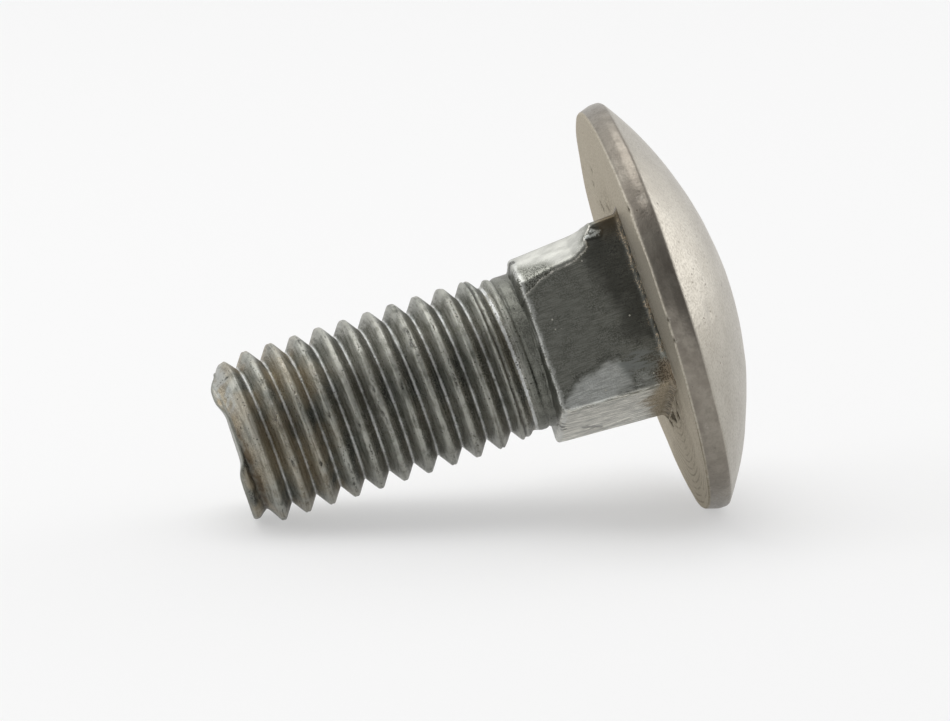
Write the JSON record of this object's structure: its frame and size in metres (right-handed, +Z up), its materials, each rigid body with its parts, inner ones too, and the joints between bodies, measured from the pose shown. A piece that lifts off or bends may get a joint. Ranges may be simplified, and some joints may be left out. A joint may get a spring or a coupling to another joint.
{
  "type": "carriage bolt",
  "caption": "Round-head square-neck steel bolt with a coarse right-hand thread; the neck keeps it from turning in a square hole while a nut is tightened.",
  "frame": {"origin": "centre of the bounding box's footprint, on the table the bolt lies on", "axes": "+Z up from the table; +X towards the head, along the bolt as seen from above; the bolt's own axis lies in the XZ plane and leans up towards the head"},
  "size_m": [0.0366, 0.029, 0.028],
  "materials": {
    "steel": "dull bare steel, worn, with a lighter warm-grey head and darker thread grooves"
  },
  "bodies": {
    "root": {"bolt": "steel"}
  },
  "joints": []
}
